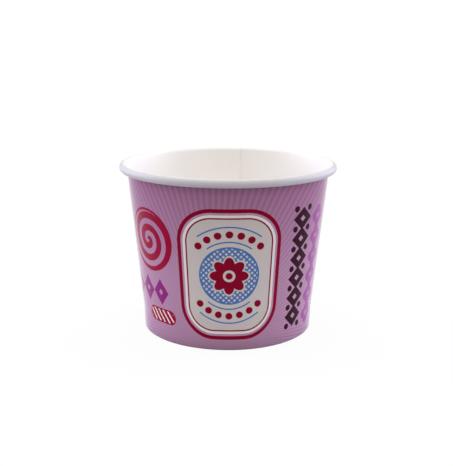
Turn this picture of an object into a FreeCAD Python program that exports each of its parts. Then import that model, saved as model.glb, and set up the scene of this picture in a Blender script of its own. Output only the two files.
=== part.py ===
"""Paper dessert cup: a tapered tub of coated paperboard for one large portion.

The cup is two pieces of board, bonded together. The wall is one blank wound into a cone. Its ends
lap and are sealed down the back, its top edge is rolled outwards into a round rim, and its foot is
turned inwards and up. The base is a round disc drawn into a shallow cap. Its skirt points down and
is caught in the turned foot, so the floor of the cup stands clear of the table. Round the base,
where three layers are pressed together, the wall stands out as a steeper band.

Millimetres, +Z up. The origin is the centre of the foot, on the surface the cup stands on, and -Y
is the front. Sections are drawn in the plane of radius and height and turned about the axis.
"""

import FreeCAD, Part
import os
from math import asin, atan2, cos, degrees, hypot, radians, sin, sqrt, tan

# Overall sizes
rim_diameter = 97.0  # over the rolled rim
foot_diameter = 77.1  # over the wall where the band round the base meets the table
cup_height = 75.0  # table to the top of the rim

# Board
wall_board = 0.38  # thickness of the wall's board
base_board = 0.34  # thickness of the base's board
glue_line = 0.02  # film between two bonded layers

# Rolled rim
rim_roll_diameter = 3.5  # outside of the roll
rim_tuck_angle = 110.0  # degrees that the raw edge turns on, inside the roll
rim_tuck_gap = 0.06  # between the tucked edge and a lapped wall

# Base cap and turned foot
base_recess = 8.0  # table to the underside of the base
base_corner_radius = 0.9  # inside of the bend between the base and its skirt
skirt_end_gap = 0.3  # from the skirt's raw edge to the bottom of the fold
hem_edge_gap = 0.7  # from the hem's raw edge to the bend of the base
fold_inner_radius = 0.08  # inside of the fold's two bends

# Band of the wall round the base
band_lean_angle = 2.4  # degrees off upright
band_rise = 1.2  # from the top of the base to the bend above the band
band_bend_radius = 12.0  # middle of the board, in that bend

# Side seam
seam_bearing = 82.0  # degrees from +X to the edge of the under layer, near the back
seam_lap_width = 7.0  # along the wall at the foot
seam_ramp_width = 2.0  # over which the upper layer climbs on to the under one
seam_foot_margin = 0.5  # single layer left above the fold, so that the cup stands flat
seam_foot_blend = 1.4  # height over which the lap then builds up

# Band round the base
foot_radius = foot_diameter / 2
band_lean = radians(band_lean_angle)
band_up = (sin(band_lean), cos(band_lean))
band_outward = (cos(band_lean), -sin(band_lean))
band_top_height = base_recess + base_board + band_rise

# Mid-lines of the rim's roll, the fold and the bend of the base
roll_radius = rim_roll_diameter / 2
roll_mid_radius = roll_radius - wall_board / 2
roll_centre = (rim_diameter / 2 - roll_radius, cup_height - roll_radius)
fold_mid_radius = fold_inner_radius + wall_board / 2
fold_width = wall_board + base_board + 2 * glue_line
fold_flat = (fold_width - 2 * fold_mid_radius) / cos(band_lean)
base_bend_radius = base_corner_radius + base_board / 2
base_middle_height = base_recess + base_board / 2
skirt_inset = wall_board + glue_line + base_board / 2


def along(point, direction, distance):
    """The point that lies a distance away in a direction."""
    return (point[0] + direction[0] * distance, point[1] + direction[1] * distance)


def beside_band(height, inset):
    """The point at a height that lies an inset inside the outer face of the band."""
    return (foot_radius + (height * sin(band_lean) - inset) / cos(band_lean), height)


def in_plane(point):
    """A section point as a vector, radius along X and height along Z."""
    return FreeCAD.Vector(point[0], 0, point[1])


class BoardPath:
    """The mid-line of a strip of board, drawn by walking along it and bending left or right.

    Each step keeps the line or arc that a face of the board makes at any offset to the left, so
    both faces of the strip, and the faces of a second layer laid on it, come from one walk."""

    def __init__(self, start, heading):
        self.point = start
        self.heading = heading
        self.steps = []

    def side(self):
        """The unit vector to the left of the heading."""
        return (-self.heading[1], self.heading[0])

    def go(self, distance, lift_from=0.0, lift_to=0.0):
        """A straight run, along which a second layer may climb from one lift to another."""
        start, side = self.point, self.side()
        self.point = along(start, self.heading, distance)
        end = self.point

        def line(offset, lift):
            return Part.LineSegment(
                in_plane(along(start, side, offset - lift * lift_from)),
                in_plane(along(end, side, offset - lift * lift_to)),
            ).toShape()

        self.steps.append(line)

    def bend(self, radius, angle, lifted=0.0):
        """A bend through an angle in degrees, positive to the left."""
        turn = 1 if angle > 0 else -1
        centre = along(self.point, self.side(), turn * radius)
        spoke = (-turn * self.side()[0], -turn * self.side()[1])

        def turned(vector, share):
            swing = radians(angle) * share
            return (
                vector[0] * cos(swing) - vector[1] * sin(swing),
                vector[0] * sin(swing) + vector[1] * cos(swing),
            )

        def arc(offset, lift):
            reach = radius - turn * (offset - lift * lifted)
            corners = [along(centre, turned(spoke, share), reach) for share in (0, 0.5, 1)]
            return Part.Arc(*[in_plane(corner) for corner in corners]).toShape()

        self.steps.append(arc)
        self.point = along(centre, turned(spoke, 1), radius)
        self.heading = turned(self.heading, 1)

    def section(self, board, lift=0.0):
        """The closed outline of the strip, its layer lifted to the right by a distance."""
        left = [step(board / 2, lift) for step in self.steps]
        right = [step(-board / 2, lift) for step in self.steps]
        start = Part.LineSegment(right[0].Vertexes[0].Point, left[0].Vertexes[0].Point)
        end = Part.LineSegment(left[-1].Vertexes[-1].Point, right[-1].Vertexes[-1].Point)
        return Part.Wire([start.toShape()] + left + [end.toShape()] + right[::-1])


def wall_path(tucked):
    """The wall's blank from the hem's raw edge, round the foot and up to the end of the roll.

    The upper layer of the seam stops at the bottom of the roll, and the rest is tucked on inside."""
    outer_bend = beside_band(wall_board / 2 + fold_mid_radius, wall_board / 2 + fold_mid_radius)
    inner_bend = (outer_bend[0] - fold_flat, outer_bend[1])
    hem_foot = along(inner_bend, band_outward, -fold_mid_radius)
    base_bend_height = base_middle_height - base_bend_radius
    hem_length = (base_bend_height - hem_edge_gap - hem_foot[1]) / cos(band_lean)

    # From the bend above the band, the slope runs straight into the roll.
    band_corner = beside_band(band_top_height, wall_board / 2)
    run = roll_centre[0] - band_corner[0]
    rise = roll_centre[1] - band_corner[1]
    slope = atan2(run, rise) - asin(roll_mid_radius / hypot(run, rise))
    bend_reach = band_bend_radius * tan((slope - band_lean) / 2)
    slope_length = sqrt(run**2 + rise**2 - roll_mid_radius**2) - bend_reach

    path = BoardPath(along(hem_foot, band_up, hem_length), (-band_up[0], -band_up[1]))
    path.go(hem_length)
    path.bend(fold_mid_radius, 90 + degrees(band_lean))
    path.go(fold_flat)
    path.bend(fold_mid_radius, 90 - degrees(band_lean))
    band_length = (band_corner[1] - path.point[1]) / cos(band_lean) - bend_reach
    path.go(seam_foot_margin)
    path.go(seam_foot_blend, 0, 1)
    path.go(band_length - seam_foot_margin - seam_foot_blend, 1, 1)
    path.bend(band_bend_radius, degrees(band_lean - slope), 1)
    path.go(slope_length, 1, 1)
    turn_to_roll_bottom = 270 - degrees(slope)
    path.bend(roll_mid_radius, -turn_to_roll_bottom, 1)
    if tucked:
        tuck_radius = roll_mid_radius - 2 * wall_board - rim_tuck_gap
        path.bend(tuck_radius, -rim_tuck_angle, 1)
    return path


def turned_about_axis(shape, bearing):
    """A section or solid turned about the cup's axis to a bearing in degrees."""
    copy = shape.copy()
    copy.rotate(FreeCAD.Vector(0, 0, 0), FreeCAD.Vector(0, 0, 1), bearing)
    return copy


def revolved(outline, first_bearing, sweep):
    """The solid that a section makes as it turns through a sweep in degrees."""
    face = turned_about_axis(Part.Face(outline), first_bearing)
    return face.revolve(FreeCAD.Vector(0, 0, 0), FreeCAD.Vector(0, 0, 1), sweep)


def make_wall():
    """The wound wall, with its lapped seam carried up into the rolled rim."""
    lap_sweep = degrees(seam_lap_width / foot_radius)
    ramp_sweep = degrees(seam_ramp_width / foot_radius)
    upper_path = wall_path(tucked=False)
    level = upper_path.section(wall_board)
    lifted = upper_path.section(wall_board, wall_board)
    under_layer = revolved(
        wall_path(tucked=True).section(wall_board), seam_bearing, 360 - ramp_sweep
    )
    ramp = Part.makeLoft(
        [
            turned_about_axis(level, seam_bearing - ramp_sweep),
            turned_about_axis(lifted, seam_bearing),
        ],
        True,
        True,
    )
    upper_layer = revolved(lifted, seam_bearing, lap_sweep)
    return under_layer.fuse([ramp, upper_layer]).removeSplitter()


def make_base():
    """The base cap: a flat disc with a skirt that lies against the inside of the band."""
    bend_height = base_middle_height - base_bend_radius
    bend_centre = beside_band(bend_height, skirt_inset + base_bend_radius)
    path = BoardPath((0, base_middle_height), (1, 0))
    path.go(bend_centre[0])
    path.bend(base_bend_radius, -90 - degrees(band_lean))
    skirt_end_height = wall_board + skirt_end_gap
    path.go((path.point[1] - skirt_end_height) / cos(band_lean))
    return revolved(path.section(base_board), 0, 360)


def main():
    os.makedirs("parts", exist_ok=True)
    for name, make in {"cup_wall": make_wall, "cup_base": make_base}.items():
        solid = make()
        solid.exportStep(f"parts/{name}.step")
        print(name, solid.ShapeType, len(solid.Solids), "solid,", len(solid.Faces), "faces,")
        print("  valid", solid.isValid(), "closed", solid.isClosed(), "mm3", round(solid.Volume, 2))


main()
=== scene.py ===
"""Paper dessert cup: the printed wall, the white base and the pale studio that the cup stands in.

The wall is one sheet of board, so its mesh is swept along the way the blank is wound: from the raw
edge at the back, once round the cup and on over its own start. That gives the lapped seam, the
rolled rim, the turned foot and the steeper band round the base their real form. The print is worked
out on the unrolled blank, in millimetres along it and up it, from plain shapes laid one over
another like inks.
"""

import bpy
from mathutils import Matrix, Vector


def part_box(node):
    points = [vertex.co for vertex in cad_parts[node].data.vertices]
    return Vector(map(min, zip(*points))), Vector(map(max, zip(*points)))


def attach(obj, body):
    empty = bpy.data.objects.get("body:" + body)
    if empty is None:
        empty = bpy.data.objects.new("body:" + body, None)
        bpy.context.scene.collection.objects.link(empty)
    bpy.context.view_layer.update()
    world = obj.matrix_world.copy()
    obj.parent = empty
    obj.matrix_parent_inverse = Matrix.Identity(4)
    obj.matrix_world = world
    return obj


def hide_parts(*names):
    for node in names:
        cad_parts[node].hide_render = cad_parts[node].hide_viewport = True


bl_info = {
    "name": "Paper Dessert Cup",
    "version": (1, 0, 0),
    "blender": (4, 5, 0),
    "location": "View3D > Sidebar > Paper Cup",
    "description": "A printed paper dessert cup in a pale studio",
    "category": "Add Mesh",
}

from math import asin, atan2, cos, hypot, pi, radians, sin, sqrt, tan, tau

import bpy
import bmesh
from bpy.props import FloatProperty, FloatVectorProperty, IntProperty, PointerProperty
from bpy.types import Operator, Panel, PropertyGroup
from mathutils import Color, Quaternion, Vector

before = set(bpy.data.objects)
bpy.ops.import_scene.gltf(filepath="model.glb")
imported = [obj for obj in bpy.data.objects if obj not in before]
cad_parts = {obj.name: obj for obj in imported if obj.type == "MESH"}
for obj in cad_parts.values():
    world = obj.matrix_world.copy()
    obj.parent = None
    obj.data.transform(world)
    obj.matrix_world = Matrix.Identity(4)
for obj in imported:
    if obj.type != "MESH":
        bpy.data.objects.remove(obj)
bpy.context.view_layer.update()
wall_low, wall_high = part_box("cup_wall")

TO_MM = 1000.0
SHARP_ANGLE = radians(50)


def length_setting(name, description, default):
    """A size in metres, shown with its unit."""
    return FloatProperty(
        name=name, description=description, default=default, unit="LENGTH", precision=5
    )


def colour_setting(name, description, default):
    """A colour, given as it is seen on a screen."""
    return FloatVectorProperty(
        name=name, description=description, default=default, subtype="COLOR_GAMMA", min=0, max=1
    )


class PaperCupShape(PropertyGroup):
    """Sizes of the two pieces of board."""

    rim_diameter: length_setting("Rim", "Over the rolled rim", wall_high.x - wall_low.x)
    height: length_setting("Height", "Table to the top of the rim", wall_high.z)
    foot_diameter: length_setting("Foot", "Over the band round the base, at the table", 0.0771)
    wall_board: length_setting("Wall board", "Thickness of the wall's board", 0.00038)
    base_board: length_setting("Base board", "Thickness of the base's board", 0.00034)
    glue_line: length_setting("Glue line", "Film between two bonded layers", 0.00002)
    rim_roll: length_setting("Rim roll", "Outside of the rolled rim's section", 0.0035)
    rim_tuck_gap: length_setting("Tuck gap", "Between the tucked edge and a lapped wall", 0.00006)
    rim_tuck_angle: FloatProperty(
        name="Tuck angle", description="How far the raw edge turns on", default=radians(110),
        subtype="ANGLE",
    )
    base_recess: length_setting("Recess", "Table to the underside of the base", 0.008)
    base_corner: length_setting("Base corner", "Inside of the bend round the base", 0.0009)
    base_dish: length_setting("Base dish", "How far the middle of the base sinks", 0.0003)
    skirt_end_gap: length_setting("Skirt gap", "Skirt's edge to the fold of the foot", 0.0003)
    hem_edge_gap: length_setting("Hem gap", "Hem's edge to the bend of the base", 0.0007)
    fold_radius: length_setting("Fold radius", "Inside of the fold's two bends", 0.00008)
    band_lean: FloatProperty(
        name="Band lean", description="Off upright, of the band of the wall round the base",
        default=radians(2.4), subtype="ANGLE",
    )
    band_rise: length_setting("Band rise", "From the top of the base to the bend above", 0.0012)
    band_bend: length_setting("Band bend", "Radius of the bend above the band", 0.012)
    seam_bearing: FloatProperty(
        name="Seam bearing", description="From +X to the first edge of the blank",
        default=radians(82), subtype="ANGLE",
    )
    seam_lap: length_setting("Seam lap", "How far the blank laps over its start", 0.007)
    seam_ramp: length_setting("Seam ramp", "Over which the upper layer climbs", 0.002)
    seam_margin: length_setting("Seam margin", "Single layer left above the fold", 0.0005)
    seam_blend: length_setting("Seam blend", "Height over which the lap builds up", 0.0014)
    knurl_depth: length_setting("Knurl depth", "Of the ribs pressed in the hem", 0.00007)
    knurls: IntProperty(name="Knurls", description="Ribs pressed round the hem", default=150)
    out_of_round: length_setting("Out of round", "Hand-made unevenness of the rim", 0.00012)


class PaperCupPrint(PropertyGroup):
    """Colours of the board and of the inks, and two painted shades: a greyer board for the roll and a
    darkening of the ground under the rim.
    """

    board: colour_setting("Board", "Coated white board", (0.992, 0.980, 0.964))
    # Painted shade: rim is a greyer, cooler copy of the board colour, laid on the roll past its crest so
    # that the rolled rim shows shaded; the board there is the same white board
    rim: colour_setting("Rim", "A greyer copy of the board, painted shade on the roll", (0.875, 0.865, 0.880))
    raw_edge: colour_setting("Raw edge", "Cut edge of the board", (0.90, 0.86, 0.80))
    pale_lilac: colour_setting("Pale lilac", "Light rays of the ground", (0.795, 0.625, 0.750))
    deep_lilac: colour_setting("Deep lilac", "Dark rays of the ground", (0.744, 0.560, 0.698))
    # Painted shade: the ground darkens towards the rim, standing in for the darker light under the
    # rolled rim
    painted_rim_shade: colour_setting("Upper shade", "Painted shade that deepens the ground under the rim", (0.935, 0.865, 0.905))
    cream: colour_setting("Cream", "Inside of the panel", (0.875, 0.846, 0.832))
    crimson: colour_setting("Crimson", "Panel border, flower and dots", (0.585, 0.012, 0.180))
    rose: colour_setting("Rose", "Swirl and striped bar", (0.665, 0.012, 0.230))
    blue: colour_setting("Blue", "Lattice and rules", (0.300, 0.500, 0.765))
    plum: colour_setting("Plum", "Dark chain", (0.205, 0.020, 0.120))
    mauve: colour_setting("Mauve", "Light chain", (0.675, 0.335, 0.645))
    purple: colour_setting("Purple", "Row of lozenges", (0.600, 0.165, 0.525))


class PaperCupStudio(PropertyGroup):
    """The camera and the light."""

    camera_distance: length_setting("Distance", "Camera to the point it looks at", 0.3707)
    camera_rise: FloatProperty(
        name="Rise", description="Camera's angle above the horizon", default=radians(13.85),
        subtype="ANGLE",
    )
    camera_roll: FloatProperty(
        name="Roll", description="Turn about the line of sight", default=radians(0.25),
        subtype="ANGLE",
    )
    focus_length: FloatProperty(
        name="Focal length", description="In millimetres, for a 36 mm long side", default=62.42
    )
    aim_height: length_setting("Aim height", "Height of the point looked at", 0.0419)
    aim_side: length_setting("Aim side", "Sideways place of the point looked at", -0.00057)
    side_light: FloatProperty(name="Sides", description="Soft light from each side", default=5.7)
    top_light: FloatProperty(name="Top", description="Soft light from above and behind", default=1.75)
    front_light: FloatProperty(name="Front", description="Soft light over the camera", default=2.15)
    room_light: FloatProperty(name="Room", description="Even light from all sides", default=0.12)
    side_tint: colour_setting("Side tint", "Cool colour of the light from the sides", (0.905, 0.91, 1.0))
    top_tint: colour_setting("Top tint", "Warm colour of the light from above", (1.0, 0.99, 0.97))
    floor: colour_setting("Floor", "How the floor shows", (1.0, 1.0, 1.0))
    # Painted light in what the floor gives back to the cup, unseen by the camera: a painted shadow at
    # the foot, a painted pool of light close to the cup and painted dimming further away
    painted_foot_shadow: colour_setting("Foot floor", "What the floor gives back at the foot", (0.12, 0.10, 0.12))
    painted_floor_light: colour_setting("Near floor", "What it gives back close to the cup", (0.89, 0.87, 0.88))
    painted_floor_dimming: colour_setting("Far floor", "What it gives back further away", (0.40, 0.40, 0.40))
    foot_reach: length_setting("Foot reach", "From the foot to where the floor is lightest", 0.016)
    floor_reach: length_setting("Floor reach", "From the foot to where the floor is darker", 0.20)


class BoardPath:
    """The mid-line of a strip of board, walked in the plane of radius and height.

    Each sample keeps its place, the side to the left, how far a second layer stands off there, and
    the name of the stretch it belongs to."""

    def __init__(self, start, heading, stretch):
        self.point = Vector(start)
        self.heading = Vector(heading)
        self.samples = []
        self.keep(stretch, 0)

    def keep(self, stretch, lift):
        side = Vector((-self.heading.y, self.heading.x))
        self.samples.append((self.point.copy(), side, lift, stretch))

    def go(self, distance, steps, stretch, lift_from=0.0, lift_to=0.0):
        """A straight run, along which a second layer may climb."""
        start = self.point.copy()
        for step in range(1, steps + 1):
            share = step / steps
            self.point = start + self.heading * distance * share
            self.keep(stretch, lift_from + (lift_to - lift_from) * share)

    def bend(self, radius, angle, steps, stretch, lift=0.0):
        """A bend through an angle, positive to the left."""
        turn = 1 if angle > 0 else -1
        side = Vector((-self.heading.y, self.heading.x))
        centre = self.point + side * radius * turn
        first_heading = self.heading.copy()
        for step in range(1, steps + 1):
            swing = angle * step / steps
            self.heading = Vector((
                first_heading.x * cos(swing) - first_heading.y * sin(swing),
                first_heading.x * sin(swing) + first_heading.y * cos(swing),
            ))
            left = Vector((-self.heading.y, self.heading.x))
            self.point = centre - left * radius * turn
            self.keep(stretch, lift)

    def faces(self, board, lift_size=0.0):
        """The points of the left and the right face of the board."""
        left = [at + side * (board / 2 - lift_size * lift) for at, side, lift, _ in self.samples]
        right = [at - side * (board / 2 + lift_size * lift) for at, side, lift, _ in self.samples]
        return left, right


class CupLines:
    """The lines of the band round the base and of the slope above it, worked out from the sizes."""

    def __init__(self, shape):
        self.shape = shape
        self.foot_radius = shape.foot_diameter / 2
        self.lean = shape.band_lean
        self.band_up = Vector((sin(self.lean), cos(self.lean)))
        self.band_out = Vector((cos(self.lean), -sin(self.lean)))
        self.base_middle = shape.base_recess + shape.base_board / 2
        self.base_bend = shape.base_corner + shape.base_board / 2

        self.roll_mid = (shape.rim_roll - shape.wall_board) / 2
        roll_radius = shape.rim_roll / 2
        roll_centre = Vector((shape.rim_diameter / 2 - roll_radius, shape.height - roll_radius))
        self.band_corner = self.beside_band(
            shape.base_recess + shape.base_board + shape.band_rise, shape.wall_board / 2
        )
        to_roll = roll_centre - self.band_corner
        self.slope = atan2(to_roll.x, to_roll.y) - asin(self.roll_mid / to_roll.length)
        self.bend_reach = shape.band_bend * tan((self.slope - self.lean) / 2)
        self.slope_length = sqrt(to_roll.length ** 2 - self.roll_mid ** 2) - self.bend_reach
        self.mean_radius = (self.foot_radius + roll_centre.x - roll_radius) / 2

    def beside_band(self, height, inset):
        """The point at a height that lies an inset inside the outer face of the band."""
        radius = self.foot_radius + (height * sin(self.lean) - inset) / cos(self.lean)
        return Vector((radius, height))


def wall_path(lines):
    """The wall's blank from the hem's raw edge, round the foot and up into the roll."""
    shape = lines.shape
    fold = shape.fold_radius + shape.wall_board / 2
    fold_width = shape.wall_board + shape.base_board + 2 * shape.glue_line
    fold_flat = (fold_width - 2 * fold) / cos(lines.lean)
    outer_bend = lines.beside_band(shape.wall_board / 2 + fold, shape.wall_board / 2 + fold)
    hem_foot = outer_bend - Vector((fold_flat, 0)) - lines.band_out * fold
    hem_top = lines.base_middle - lines.base_bend - shape.hem_edge_gap
    hem_length = (hem_top - hem_foot.y) / cos(lines.lean)
    tuck_mid = lines.roll_mid - 2 * shape.wall_board - shape.rim_tuck_gap

    path = BoardPath(hem_foot + lines.band_up * hem_length, -lines.band_up, "hem")
    path.go(hem_length, 8, "hem")
    path.bend(fold, pi / 2 + lines.lean, 5, "fold")
    path.go(fold_flat, 1, "fold")
    path.bend(fold, pi / 2 - lines.lean, 5, "foot")
    band_length = (lines.band_corner.y - path.point.y) / cos(lines.lean) - lines.bend_reach
    path.go(shape.seam_margin, 1, "wall")
    path.go(shape.seam_blend, 3, "wall", 0, 1)
    path.go(band_length - shape.seam_margin - shape.seam_blend, 3, "wall", 1, 1)
    path.bend(shape.band_bend, lines.lean - lines.slope, 3, "wall", 1)
    path.go(lines.slope_length, 12, "wall", 1, 1)
    # The crest keeps the plain board; the roll past it takes the painted-shade copy of the board
    path.bend(lines.roll_mid, -pi / 2, 9, "crest", 1)
    path.bend(lines.roll_mid, lines.slope - pi, 16, "roll", 1)
    path.bend(tuck_mid, -shape.rim_tuck_angle, 8, "roll", 1)
    return path


def base_path(lines):
    """The base cap from its middle, round the corner and down the skirt."""
    shape = lines.shape
    bend_height = lines.base_middle - lines.base_bend
    inset = shape.wall_board + shape.glue_line + shape.base_board / 2 + lines.base_bend
    path = BoardPath((0, lines.base_middle), (1, 0), "disc")
    path.go(lines.beside_band(bend_height, inset).x, 14, "disc")
    path.bend(lines.base_bend, -pi / 2 - lines.lean, 8, "corner")
    skirt_end = shape.wall_board + shape.skirt_end_gap
    path.go((path.point.y - skirt_end) / cos(lines.lean), 4, "skirt")
    return path


def smooth_step(value):
    """0 below 0, 1 above 1, and an even S between."""
    value = min(max(value, 0.0), 1.0)
    return value * value * (3 - 2 * value)


def unevenness(shape, bearing, height):
    """The small shift outwards that keeps the cup from being a perfect cone."""
    share = height / shape.height
    oval = cos(2 * bearing - 0.7) * share
    ripple = 0.18 * sin(5 * bearing + 1.1) + 0.10 * sin(9 * bearing + 0.4)
    return shape.out_of_round * (oval + ripple * (0.3 + share))


def make_object(name, points, faces, slots, materials):
    """A smooth mesh object with sharp edges where the board is cut."""
    mesh = bpy.data.meshes.new(name)
    mesh.from_pydata(points, [], faces)
    for material in materials:
        mesh.materials.append(material)
    mesh.polygons.foreach_set("material_index", slots)
    mesh.polygons.foreach_set("use_smooth", [True] * len(faces))
    mesh.set_sharp_from_angle(angle=SHARP_ANGLE)
    mesh.update()
    made = bpy.data.objects.new(name, mesh)
    bpy.context.scene.collection.objects.link(made)
    return made


def wound_wall(lines, materials):
    """The wall as one wound sheet, its section swept round from seam to seam."""
    shape = lines.shape
    path = wall_path(lines)
    stretches = [stretch for _, _, _, stretch in path.samples]
    level_left, level_right = path.faces(shape.wall_board)
    lift_size = shape.wall_board + shape.glue_line
    lifted_left, lifted_right = path.faces(shape.wall_board, lift_size)
    level = level_right + level_left[::-1]
    lifted = lifted_right + lifted_left[::-1]
    count = len(level_right)
    ring = len(level)

    stations_per_knurl = 4
    whole = shape.knurls * stations_per_knurl
    step = tau / whole
    lap = round(shape.seam_lap / lines.foot_radius / step)
    ramp = shape.seam_ramp / lines.foot_radius
    knurled = range(1, stretches.count("hem") - 1)

    points = []
    for station in range(whole + lap + 1):
        wound = station * step
        bearing = shape.seam_bearing + wound
        climb = smooth_step((wound - (tau - ramp)) / ramp)
        rib = 0.5 + 0.5 * cos(bearing * shape.knurls)
        for place in range(ring):
            at = level[place].lerp(lifted[place], climb)
            radius = at.x + unevenness(shape, bearing, at.y)
            if place in knurled:
                radius += shape.knurl_depth * rib
            points.append((radius * cos(bearing), radius * sin(bearing), at.y))

    printed, plain, raw, rolled = 0, 1, 2, 3
    faces = []
    slots = []
    for station in range(whole + lap):
        near = station * ring
        far = near + ring
        for place in range(ring):
            after = (place + 1) % ring
            faces.append((near + place, far + place, far + after, near + after))
            if place in (count - 1, ring - 1):
                slots.append(raw)
            elif place < count - 1 and stretches[place + 1] in ("foot", "wall"):
                slots.append(printed)
            # The outer face of the roll past its crest takes the painted-shade copy of the board
            elif place > count - 1 and stretches[ring - 1 - place] == "roll":
                slots.append(rolled)
            else:
                slots.append(plain)
    last = (whole + lap) * ring
    for place in range(count - 1):
        across = ring - 1 - place
        faces.append((place, place + 1, across - 1, across))
        faces.append((last + place, last + across, last + across - 1, last + place + 1))
        slots += [raw, raw]
    return make_object("printed_wall", points, faces, slots, materials)


def base_cap(lines, materials):
    """The base as a drawn disc, a little dished, with its skirt down."""
    shape = lines.shape
    path = base_path(lines)
    left, right = path.faces(shape.base_board)
    outline = left + right[::-1]
    edge_radius = max(at.x for at in outline)
    dish_radius = edge_radius - 2 * shape.base_corner
    stations = 360
    ring = len(outline)

    points = []
    for station in range(stations):
        bearing = tau * station / stations
        for at in outline:
            sunk = shape.base_dish * max(0.0, 1 - (at.x / dish_radius) ** 2)
            radius = at.x + unevenness(shape, bearing, at.y) * at.x / edge_radius
            points.append((radius * cos(bearing), radius * sin(bearing), at.y - sunk))

    plain, raw = 0, 1
    faces = []
    slots = []
    for station in range(stations):
        near = station * ring
        far = (station + 1) % stations * ring
        for place in range(ring - 1):
            faces.append((near + place, near + place + 1, far + place + 1, far + place))
            slots.append(raw if place == len(left) - 1 else plain)
    made = make_object("base_cap", points, faces, slots, materials)

    # The points on the axis become one on each face of the disc
    on_axis = 0.00002
    work = bmesh.new()
    work.from_mesh(made.data)
    axis_points = [vert for vert in work.verts if hypot(vert.co.x, vert.co.y) < on_axis]
    bmesh.ops.remove_doubles(work, verts=axis_points, dist=on_axis)
    bmesh.ops.recalc_face_normals(work, faces=work.faces)
    work.to_mesh(made.data)
    work.free()
    made.data.set_sharp_from_angle(angle=SHARP_ANGLE)
    return made


class Field:
    """A number that varies over a surface. Arithmetic on fields adds math nodes to a material."""

    def __init__(self, tree, socket):
        self.tree = tree
        self.socket = socket

    def __add__(self, other):
        return worked("ADD", self, other)

    def __sub__(self, other):
        return worked("SUBTRACT", self, other)

    def __rsub__(self, other):
        return worked("SUBTRACT", other, self)

    def __mul__(self, other):
        return worked("MULTIPLY", self, other)

    def __truediv__(self, other):
        return worked("DIVIDE", self, other)

    def __abs__(self):
        return worked("ABSOLUTE", self)

    def __neg__(self):
        return self * -1


def worked(operation, *values, clamp=False):
    """The field that one math node makes of fields and plain numbers."""
    tree = next(value.tree for value in values if isinstance(value, Field))
    node = tree.nodes.new("ShaderNodeMath")
    node.operation = operation
    node.use_clamp = clamp
    for place, value in zip(node.inputs, values):
        if isinstance(value, Field):
            tree.links.new(value.socket, place)
        else:
            place.default_value = value
    return Field(tree, node.outputs[0])


def larger(first, second):
    """The larger of two values. For distances to shapes, that is where both shapes are."""
    return worked("MAXIMUM", first, second)


def smaller(first, second):
    """The smaller of two values. For distances to shapes, that is where either shape is."""
    return worked("MINIMUM", first, second)


def span(x, y):
    """The distance from the origin."""
    return worked("SQRT", x * x + y * y)


def folded(value, pitch):
    """A value folded into one pitch, from minus half of it to half."""
    return value - worked("ROUND", value / pitch) * pitch


def kept_within(value, least, most):
    """A repeat's number, held between its first and its last."""
    return worked("MINIMUM", worked("MAXIMUM", value, least), most)


def beads(value, pitch, first, last):
    """A value measured from the nearest of a row of places, from the first to the last of them."""
    return value - kept_within(worked("ROUND", value / pitch), first, last) * pitch


def rounded_box(x, y, half_width, half_height, corner):
    """Distance to a box with round corners, negative inside."""
    over_x = abs(x) - (half_width - corner)
    over_y = abs(y) - (half_height - corner)
    outside = span(larger(over_x, 0), larger(over_y, 0))
    inside = smaller(larger(over_x, over_y), 0)
    return outside + inside - corner


def lozenge(x, y, half_width, half_height):
    """Distance to a lozenge, negative inside."""
    scale = half_width * half_height / hypot(half_width, half_height)
    return (abs(x) / half_width + abs(y) / half_height - 1) * scale


def rosette(x, y, radius, petals, depth):
    """Distance to a flower with round petals, negative inside."""
    bearing = worked("ARCTAN2", x, y)
    lobe = abs(worked("COSINE", bearing * (petals / 2)))
    return span(x, y) - (lobe * depth + (radius - depth))


def swirl(x, y, pitch, width):
    """Distance to a line wound outwards from the middle, negative inside."""
    turns = span(x, y) / pitch - worked("ARCTAN2", x, y) / tau
    return abs(folded(turns, 1)) * pitch - width / 2


def measured_from(along, up, centre_along, centre_up):
    """The place on the blank, measured from the centre of a shape."""
    return along - centre_along, up - centre_up


def line_at(distance, width):
    """Distance to a line of a width drawn along the edge of a shape."""
    return abs(distance) - width / 2


class Printing:
    """The inks laid on the blank, one over another."""

    softness = 0.10

    def __init__(self, tree, ground):
        self.tree = tree
        self.colour = ground

    def mixed(self, share, ink, way="MIX"):
        """Lays an ink by a share that varies over the blank."""
        mix = self.tree.nodes.new("ShaderNodeMix")
        mix.data_type = "RGBA"
        mix.blend_type = way
        factor, under, over, result = colour_mix(mix)
        self.tree.links.new(share.socket, factor)
        self.tree.links.new(self.colour, under)
        over.default_value = ink
        self.colour = result

    def lay(self, ink, distance):
        """Lays an ink wherever a distance is negative."""
        self.mixed(worked("SUBTRACT", 0.5, distance / self.softness, clamp=True), ink)


def seen(colour):
    """The colour as a shader takes it, with its alpha."""
    linear = Color(colour).from_srgb_to_scene_linear()
    return (*linear, 1)


def colour_mix(node):
    """The factor, the two colours and the result of a colour mix node."""
    return node.inputs[0], node.inputs[6], node.inputs[7], node.outputs[2]


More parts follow.
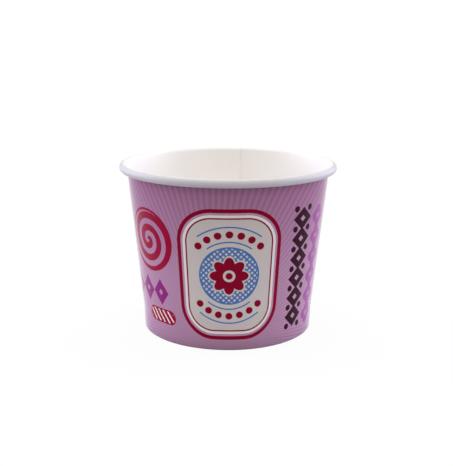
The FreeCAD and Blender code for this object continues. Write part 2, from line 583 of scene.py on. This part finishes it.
def ray_ground(tree, along, up, way_round, inks):
    """Fine rays in two lilacs that spread from a point low on the front and one low on the back.

    Near that point they run together into one even tone, and towards the rim a painted shade darkens
    them, where the light falls darker under the rim."""
    centre_along, centre_up = -6.0, 8.0
    rays = 160
    first_ray = 0.35
    together, apart = 8.0, 34.0
    painted_shade_from, painted_shade_full = 34.0, 66.0

    x = folded(along - centre_along, way_round / 2)
    y = up - centre_up
    reach = span(x, y)
    turns = worked("ARCTAN2", x, y) * (rays / tau) + first_ray
    off_edge = (abs(folded(turns, 1)) - 0.25) * reach * (tau / rays)
    ground = tree.nodes.new("ShaderNodeRGB")
    ground.outputs[0].default_value = seen(inks.pale_lilac)
    printing = Printing(tree, ground.outputs[0])
    clear = worked("DIVIDE", reach - together, apart - together, clamp=True)
    share = worked("SUBTRACT", 0.5, off_edge / printing.softness, clamp=True)
    printing.mixed((share - 0.5) * clear + 0.5, seen(inks.deep_lilac))
    # Painted shade: from 34 mm up to 66 mm the ground is multiplied darker towards the rim, where the
    # light falls darker under the rolled rim
    shade = worked("DIVIDE", up - painted_shade_from, painted_shade_full - painted_shade_from, clamp=True)
    printing.mixed(shade, seen(inks.painted_rim_shade), "MULTIPLY")
    return printing


def lay_panel(printing, along, up, inks):
    """The cream panel at the front, with a lattice, a flower and rows of dots."""
    x, y = measured_from(along, up, centre_along=0.6, centre_up=33.7)
    reach = span(x, y)

    # Border in four inks, and a fine line inside it
    edge = rounded_box(x, y, half_width=22.0, half_height=28.8, corner=15.0)
    borders = (inks.crimson, 0.0), (inks.pale_lilac, 1.67), (inks.board, 2.6), (inks.cream, 4.0)
    for ink, inset in borders:
        printing.lay(seen(ink), edge + inset)
    printing.lay(seen(inks.crimson), line_at(edge + 4.05, 0.65))

    # Lattice in a ring
    diagonal = sqrt(0.5)
    lattice_pitch, lattice_line = 1.7, 0.72
    roundel = reach - 12.4
    rising = line_at(folded(x * diagonal + y * diagonal, lattice_pitch), lattice_line)
    falling = line_at(folded(x * diagonal - y * diagonal, lattice_pitch), lattice_line)
    printing.lay(seen(inks.blue), larger(smaller(rising, falling), roundel))
    printing.lay(seen(inks.blue), line_at(roundel, 0.7))

    # Flower with a pale edge, and its eye
    petals, petal_depth = 8, 2.4
    printing.lay(seen(inks.cream), rosette(x, y, 9.0, petals, petal_depth))
    printing.lay(seen(inks.crimson), rosette(x, y, 8.2, petals, petal_depth))
    printing.lay(seen(inks.cream), reach - 2.6)
    printing.lay(seen(inks.crimson), reach - 1.5)

    # Bows of dots and rules, above and below
    bearing = worked("ARCTAN2", x, abs(y))
    dot_arc, dot_radius, dots_aside = 18.0, 1.55, 3
    around = beads(bearing, radians(15), -dots_aside, dots_aside) * dot_arc
    printing.lay(seen(inks.crimson), span(around, reach - dot_arc) - dot_radius)
    rule_end, rule_line = radians(38), 0.6
    inner_arc, outer_arc, mean_arc = 14.8, 21.2, 20.0
    past_end = (abs(bearing) - rule_end) * mean_arc
    for rule_arc in (outer_arc, inner_arc):
        printing.lay(seen(inks.blue), larger(line_at(reach - rule_arc, rule_line), past_end))


def lay_left_group(printing, along, up, inks):
    """A rose swirl, a row of lozenges and a striped bar, left of the panel."""
    x, y = measured_from(along, up, centre_along=-38.2, centre_up=45.5)
    disc = span(x, y) - 13.4
    printing.lay(seen(inks.rose), larger(swirl(x, y, pitch=5.4, width=3.0), disc))
    printing.lay(seen(inks.rose), line_at(disc, 1.2))

    x, y = measured_from(along, up, centre_along=-33.0, centre_up=22.6)
    link = beads(x, pitch=9.8, first=-2, last=0)
    printing.lay(seen(inks.purple), lozenge(link, y, half_width=4.8, half_height=6.0))
    printing.lay(seen(inks.pale_lilac), lozenge(link, y, half_width=1.2, half_height=1.5))

    x, y = measured_from(along, up, centre_along=-34.0, centre_up=11.6)
    bar = rounded_box(x, y, half_width=9.0, half_height=3.4, corner=3.4)
    stripe_pitch, stripe_line, bar_edge = 2.5, 0.8, 0.7
    across_stripes = x * 0.8 + y * 0.6
    stripes = line_at(folded(across_stripes, stripe_pitch), stripe_line)
    printing.lay(seen(inks.rose), bar)
    printing.lay(seen(inks.board), larger(stripes, bar + bar_edge))


def lay_right_group(printing, along, up, inks):
    """A dark chain of lozenges and a light chain of flowers, right of the panel."""
    x, y = measured_from(along, up, centre_along=33.7, centre_up=33.9)
    pitch = 8.8
    dot_aside, dot_radius = 3.9, 1.35
    link = beads(y + pitch / 2, pitch, first=-2, last=3)
    between = beads(y, pitch, first=-3, last=3)
    printing.lay(seen(inks.plum), lozenge(x, link, half_width=5.4, half_height=5.0))
    printing.lay(seen(inks.pale_lilac), lozenge(x, link, half_width=1.5, half_height=1.4))
    printing.lay(seen(inks.plum), span(abs(x) - dot_aside, between) - dot_radius)

    x, y = measured_from(along, up, centre_along=45.8, centre_up=32.7)
    pitch = 9.0
    stem_line, stem_reach = 0.9, 26.0
    link = beads(y + pitch / 2, pitch, first=-2, last=3)
    printing.lay(seen(inks.mauve), rosette(x, link, radius=4.9, petals=4, depth=1.3))
    printing.lay(seen(inks.pale_lilac), span(x, link) - 1.3)
    printing.lay(seen(inks.mauve), larger(line_at(x, stem_line), abs(y) - stem_reach))


def grain(tree, scale, detail, place):
    """An even noise over the board, from 0 to 1."""
    noise = tree.nodes.new("ShaderNodeTexNoise")
    noise.inputs["Scale"].default_value = scale
    noise.inputs["Detail"].default_value = detail
    tree.links.new(place, noise.inputs["Vector"])
    return Field(tree, noise.outputs["Fac"])


def board_finish(tree, place, colour, roughness, mottle, relief, specular=0.3):
    """Joins a colour to the surface of a sheet of coated board, with its fine fibres and sheen."""
    shader = tree.nodes["Principled BSDF"]
    fibres = grain(tree, scale=900, detail=3, place=place)
    clouds = grain(tree, scale=140, detail=2, place=place)
    uneven_gloss = 0.12
    fibre_height = 0.00006
    shade = (clouds - 0.5) * mottle + (fibres - 0.5) * mottle + 1
    tinted = tree.nodes.new("ShaderNodeVectorMath")
    tinted.operation = "SCALE"
    tree.links.new(colour, tinted.inputs[0])
    tree.links.new(shade.socket, tinted.inputs["Scale"])
    tree.links.new(tinted.outputs[0], shader.inputs["Base Color"])
    gloss = (clouds - 0.5) * uneven_gloss + roughness
    tree.links.new(gloss.socket, shader.inputs["Roughness"])
    shader.inputs["Specular IOR Level"].default_value = specular
    bump = tree.nodes.new("ShaderNodeBump")
    bump.inputs["Strength"].default_value = relief
    bump.inputs["Distance"].default_value = fibre_height
    height = fibres * 0.5 + clouds
    tree.links.new(height.socket, bump.inputs["Height"])
    tree.links.new(bump.outputs[0], shader.inputs["Normal"])


def varnish_gloss(tree, sheen, coat):
    """The varnish over the inks, which shines where it is seen at a flat angle."""
    flatness_power = 5
    shader = tree.nodes["Principled BSDF"]
    shader.inputs["Sheen Weight"].default_value = sheen
    shader.inputs["Sheen Roughness"].default_value = 0.35
    shader.inputs["Sheen Tint"].default_value = (0.90, 0.90, 1.0, 1)
    shader.inputs["Coat Roughness"].default_value = 0.22
    edge_on = Field(tree, tree.nodes.new("ShaderNodeLayerWeight").outputs["Facing"])
    weight = worked("POWER", edge_on, flatness_power) * coat
    tree.links.new(weight.socket, shader.inputs["Coat Weight"])


def new_material(name):
    """An empty material with its node tree and the place on the object."""
    material = bpy.data.materials.new(name)
    material.use_nodes = True
    tree = material.node_tree
    place = tree.nodes.new("ShaderNodeTexCoord").outputs["Object"]
    return material, tree, place


def printed_board(lines, inks):
    """The outside of the wall: lilac rays, the panel and the shapes beside it."""
    material, tree, place = new_material("printed_board")
    parts = tree.nodes.new("ShaderNodeSeparateXYZ")
    tree.links.new(place, parts.inputs[0])
    x, y, z = (Field(tree, socket) for socket in parts.outputs)
    along = worked("ARCTAN2", x, -y) * (lines.mean_radius * TO_MM)
    up = z * TO_MM
    way_round = tau * lines.mean_radius * TO_MM
    printing = ray_ground(tree, along, up, way_round, inks)
    lay_panel(printing, along, up, inks)
    lay_left_group(printing, along, up, inks)
    lay_right_group(printing, along, up, inks)
    board_finish(
        tree, place, printing.colour, roughness=0.45, mottle=0.05, relief=0.25, specular=0.05
    )
    varnish_gloss(tree, sheen=0.12, coat=2.7)
    return material


def plain_board(name, colour, roughness, mottle, relief):
    """Board in one colour, with its fibres."""
    material, tree, place = new_material(name)
    ground = tree.nodes.new("ShaderNodeRGB")
    ground.outputs[0].default_value = seen(colour)
    board_finish(tree, place, ground.outputs[0], roughness, mottle, relief)
    return material


class PAPERCUP_OT_wall(Operator):
    """Wind the printed wall, with its seam, its rolled rim and its turned foot"""

    bl_idname = "papercup.wall"
    bl_label = "Wind Printed Wall"

    def execute(self, context):
        lines = CupLines(context.scene.papercup_shape)
        inks = context.scene.papercup_print
        materials = [
            printed_board(lines, inks),
            plain_board("white_board", inks.board, roughness=0.36, mottle=0.02, relief=0.2),
            plain_board("raw_board_edge", inks.raw_edge, roughness=0.8, mottle=0.10, relief=0.6),
            # Painted shade: a greyer copy of the white board for the roll past its crest
            plain_board("rolled_board_painted_shade", inks.rim, roughness=0.40, mottle=0.02, relief=0.2),
        ]
        wall = wound_wall(lines, materials)
        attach(wall, "root")
        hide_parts("cup_wall")
        return {"FINISHED"}


class PAPERCUP_OT_base(Operator):
    """Draw the white base and its skirt"""

    bl_idname = "papercup.base"
    bl_label = "Draw Base"

    def execute(self, context):
        lines = CupLines(context.scene.papercup_shape)
        inks = context.scene.papercup_print
        materials = [
            plain_board("base_board", inks.board, roughness=0.40, mottle=0.03, relief=0.3),
            plain_board("base_board_edge", inks.raw_edge, roughness=0.8, mottle=0.10, relief=0.6),
        ]
        base = base_cap(lines, materials)
        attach(base, "root")
        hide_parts("cup_base")
        return {"FINISHED"}


def place_camera(studio):
    """The camera at the photograph's angle."""
    camera = bpy.data.objects.new("camera", bpy.data.cameras.new("camera"))
    bpy.context.scene.collection.objects.link(camera)
    back = Vector((0, -cos(studio.camera_rise), sin(studio.camera_rise)))
    target = Vector((studio.aim_side, 0, studio.aim_height))
    camera.location = target + back * studio.camera_distance
    camera.rotation_mode = "QUATERNION"
    upright = back.to_track_quat("Z", "Y")
    camera.rotation_quaternion = upright @ Quaternion((0, 0, 1), studio.camera_roll)
    camera.data.lens = studio.focus_length
    camera.data.sensor_width = 36
    camera.data.clip_start = 0.01
    bpy.context.scene.camera = camera


def mixed_shader(tree, share, first, second):
    """A shader that goes from the first to the second by a share."""
    mix = tree.nodes.new("ShaderNodeMixShader")
    tree.links.new(share.socket, mix.inputs[0])
    tree.links.new(first, mix.inputs[1])
    tree.links.new(second, mix.inputs[2])
    return mix.outputs[0]


def soft_light(tree, way, direction, strength, narrowness):
    """Light that is strongest from one direction and fades away from it."""
    facing = tree.nodes.new("ShaderNodeVectorMath")
    facing.operation = "DOT_PRODUCT"
    tree.links.new(way, facing.inputs[0])
    facing.inputs[1].default_value = Vector(direction).normalized()
    towards = larger(Field(tree, facing.outputs["Value"]), 0)
    return worked("POWER", towards, narrowness) * strength


def shone(tree, tint, strength):
    """A background that shines in one tint with a strength that varies with direction."""
    background = tree.nodes.new("ShaderNodeBackground")
    background.inputs["Color"].default_value = seen(tint)
    tree.links.new(strength.socket, background.inputs["Strength"])
    return background.outputs[0]


def added_shader(tree, first, second):
    """Two shaders together."""
    both = tree.nodes.new("ShaderNodeAddShader")
    tree.links.new(first, both.inputs[0])
    tree.links.new(second, both.inputs[1])
    return both.outputs[0]


def light_the_room(studio):
    """A white room, lit coolly from the sides and more warmly from above."""
    world = bpy.data.worlds.new("studio")
    world.use_nodes = True
    bpy.context.scene.world = world
    tree = world.node_tree
    way = tree.nodes.new("ShaderNodeTexCoord").outputs["Generated"]
    left = soft_light(tree, way, (-1, 0.35, 0.1), studio.side_light, narrowness=8)
    right = soft_light(tree, way, (1, 0.35, 0.1), studio.side_light, narrowness=8)
    behind = soft_light(tree, way, (0, 0.6, 1), studio.top_light, narrowness=7)
    before = soft_light(tree, way, (0, -0.7, 1), studio.front_light, narrowness=8)
    sides = shone(tree, studio.side_tint, left + right)
    above = shone(tree, studio.top_tint, behind + before + studio.room_light)
    room = added_shader(tree, sides, above)
    white = tree.nodes["Background"]
    white.inputs["Color"].default_value = (1, 1, 1, 1)
    white.inputs["Strength"].default_value = 1
    rays = tree.nodes.new("ShaderNodeLightPath")
    is_camera = Field(tree, rays.outputs["Is Camera Ray"])
    shown = mixed_shader(tree, is_camera, room, white.outputs[0])
    tree.links.new(shown, tree.nodes["World Output"].inputs[0])


def pale_floor(studio, foot_radius):
    """The floor's material: white as it is seen, and, as it lights the cup, toned with a painted shadow
    at the foot, a painted pool of light close by and painted dimming further away.
    """
    material, tree, place = new_material("pale_floor")
    white_share = 0.92

    # What the floor gives back, by the distance from the foot: a painted shadow at the foot, a painted
    # pool of light close to the cup and painted dimming further away
    away = tree.nodes.new("ShaderNodeVectorMath")
    away.operation = "LENGTH"
    tree.links.new(place, away.inputs[0])
    apart = Field(tree, away.outputs["Value"]) - foot_radius
    bounce = tree.nodes.new("ShaderNodeValToRGB")
    tree.links.new(worked("DIVIDE", apart, studio.floor_reach, clamp=True).socket, bounce.inputs[0])
    tones = bounce.color_ramp.elements
    tones[0].color = seen(studio.painted_foot_shadow)
    tones.new(studio.foot_reach / studio.floor_reach).color = seen(studio.painted_floor_light)
    tones[-1].color = seen(studio.painted_floor_dimming)

    # What the camera and the gloss see
    rays = tree.nodes.new("ShaderNodeLightPath")
    is_shown = larger(
        Field(tree, rays.outputs["Is Camera Ray"]), Field(tree, rays.outputs["Is Glossy Ray"])
    )
    ground = tree.nodes.new("ShaderNodeMix")
    ground.data_type = "RGBA"
    share, unseen, shown, mixed = colour_mix(ground)
    tree.links.new(is_shown.socket, share)
    tree.links.new(bounce.outputs[0], unseen)
    shown.default_value = seen(studio.floor)

    shader = tree.nodes["Principled BSDF"]
    shader.inputs["Roughness"].default_value = 0.8
    shader.inputs["Specular IOR Level"].default_value = 0.0
    tree.links.new(mixed, shader.inputs["Base Color"])
    white = tree.nodes.new("ShaderNodeEmission")
    white.inputs["Color"].default_value = seen(studio.floor)
    surface = mixed_shader(tree, is_shown * white_share, shader.outputs[0], white.outputs[0])
    tree.links.new(surface, tree.nodes["Material Output"].inputs[0])
    return material


def lay_floor(studio, foot_radius):
    """A wide pale floor that shows white and keeps a faint shadow."""
    reach = 3.0
    corners = [(x * reach, y * reach, 0) for x, y in ((-1, -1), (1, -1), (1, 1), (-1, 1))]
    mesh = bpy.data.meshes.new("floor")
    mesh.from_pydata(corners, [], [(0, 1, 2, 3)])
    mesh.materials.append(pale_floor(studio, foot_radius))
    floor = bpy.data.objects.new("floor", mesh)
    bpy.context.scene.collection.objects.link(floor)


class PAPERCUP_OT_studio(Operator):
    """Set the camera, the pale floor and the soft light"""

    bl_idname = "papercup.studio"
    bl_label = "Set Studio"

    def execute(self, context):
        studio = context.scene.papercup_studio
        place_camera(studio)
        light_the_room(studio)
        lay_floor(studio, context.scene.papercup_shape.foot_diameter / 2)
        context.scene.view_settings.view_transform = "Standard"
        return {"FINISHED"}


class PAPERCUP_PT_panel(Panel):
    """Lists the steps and their settings."""

    bl_idname = "PAPERCUP_PT_panel"
    bl_label = "Paper Cup"
    bl_space_type = "VIEW_3D"
    bl_region_type = "UI"
    bl_category = "Paper Cup"

    def draw(self, context):
        layout = self.layout
        for operator, group in (
            (PAPERCUP_OT_studio, context.scene.papercup_studio),
            (PAPERCUP_OT_wall, context.scene.papercup_shape),
            (PAPERCUP_OT_base, context.scene.papercup_print),
        ):
            layout.operator(operator.bl_idname)
            for name in group.__annotations__:
                layout.prop(group, name)


classes = (
    PaperCupShape,
    PaperCupPrint,
    PaperCupStudio,
    PAPERCUP_OT_studio,
    PAPERCUP_OT_wall,
    PAPERCUP_OT_base,
    PAPERCUP_PT_panel,
)


def register():
    for cls in classes:
        bpy.utils.register_class(cls)
    bpy.types.Scene.papercup_shape = PointerProperty(type=PaperCupShape)
    bpy.types.Scene.papercup_print = PointerProperty(type=PaperCupPrint)
    bpy.types.Scene.papercup_studio = PointerProperty(type=PaperCupStudio)


def unregister():
    del bpy.types.Scene.papercup_studio
    del bpy.types.Scene.papercup_print
    del bpy.types.Scene.papercup_shape
    for cls in reversed(classes):
        bpy.utils.unregister_class(cls)


def main():
    register()
    bpy.ops.papercup.studio()
    bpy.ops.papercup.wall()
    bpy.ops.papercup.base()


if __name__ == "__main__":
    main()
